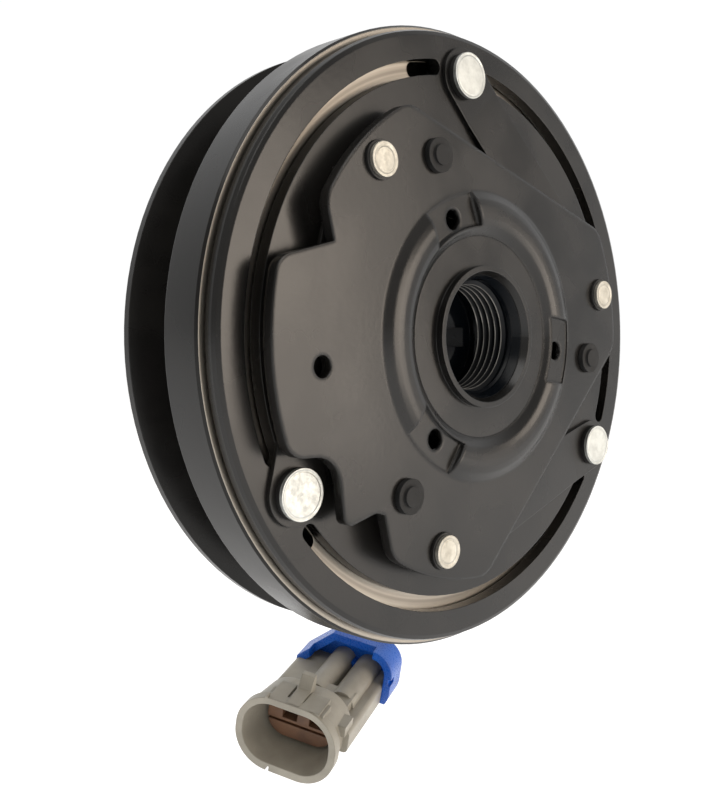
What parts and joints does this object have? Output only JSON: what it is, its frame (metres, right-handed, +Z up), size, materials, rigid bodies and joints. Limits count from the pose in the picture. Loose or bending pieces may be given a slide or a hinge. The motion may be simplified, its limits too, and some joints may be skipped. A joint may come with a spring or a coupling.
{
  "type": "electromagnetic clutch",
  "caption": "Electromagnetic clutch with a V-groove pulley on a ball bearing, fixed field coil with a wired plug, and a sprung armature on a riveted drive hub.",
  "frame": {"origin": "on the clutch axis, in the rear seating face of the coil's mounting plate", "axes": "+Y along the axis towards the compressor, so the drive plate faces -Y; +Z up; the lead hangs below"},
  "size_m": [0.12, 0.0904, 0.1575],
  "materials": {
    "black_paint": "satin black coating",
    "bare_steel": "fine turned",
    "zinc_rivet": "bright zinc",
    "zinc_steel": "zinc plated",
    "bearing_steel": "ground",
    "spring_steel": "phosphated",
    "copper_wire": "enamelled",
    "blade_metal": "tinned",
    "coil_resin": "cast resin",
    "cage_plastic": "moulded",
    "grey_plastic": "moulded",
    "blue_plastic": "moulded",
    "brown_seal": "moulded",
    "black_rubber": "moulded",
    "lead_sleeve": "extruded sleeve"
  },
  "bodies": {
    "coil": {"coil_shell": "zinc_steel", "coil_bobbin": "coil_resin", "coil_winding": "copper_wire", "coil_potting": "coil_resin", "coil_plate": "zinc_steel", "coil_locating_pin": "zinc_steel", "lead_strain_relief": "black_rubber", "lead": "lead_sleeve", "connector_housing": "grey_plastic", "connector_blades": "blade_metal", "connector_face_seal": "brown_seal", "connector_lock": "blue_plastic", "connector_wire_boot": "blue_plastic", "bearing_inner_ring": "bearing_steel"},
    "ball_set": {"bearing_balls": "bearing_steel", "bearing_cage": "cage_plastic"},
    "rotor": {"rotor": "bare_steel", "pulley_front_half": "black_paint", "pulley_rear_half": "black_paint", "bearing_outer_ring": "bearing_steel", "bearing_front_seal": "black_rubber", "bearing_rear_seal": "black_rubber", "bearing_circlip": "spring_steel"},
    "hub": {"hub": "black_paint", "hub_flange": "black_paint", "hub_plate": "black_paint", "hub_rivets": "zinc_rivet", "rubber_stops": "black_rubber", "leaf_spring_1": "black_paint", "leaf_spring_2": "black_paint", "leaf_spring_3": "black_paint"},
    "armature": {"armature_plate": "black_paint", "armature_rivets": "zinc_rivet"}
  },
  "joints": [
    {"name": "rotor_spin", "type": "hinge", "parent": "coil", "child": "rotor", "pos_m": [0, -0.0155, 0], "axis": [0, 1, 0], "continuous": true},
    {"name": "ball_set_roll", "type": "hinge", "parent": "coil", "child": "ball_set", "pos_m": [0, -0.0155, 0], "axis": [0, 1, 0], "continuous": true},
    {"name": "hub_spin", "type": "hinge", "parent": "coil", "child": "hub", "pos_m": [0, -0.0155, 0], "axis": [0, 1, 0], "continuous": true},
    {"name": "armature_pull_in", "type": "slide", "parent": "hub", "child": "armature", "axis": [0, 1, 0], "range_m": [0, 0.00045], "stiffness_N_per_m": 60000, "deforming": ["leaf_spring_1", "leaf_spring_2", "leaf_spring_3"]}
  ],
  "couplings": [
    {"joint": "ball_set_roll", "follows": "rotor_spin", "ratio": 0.57}
  ]
}
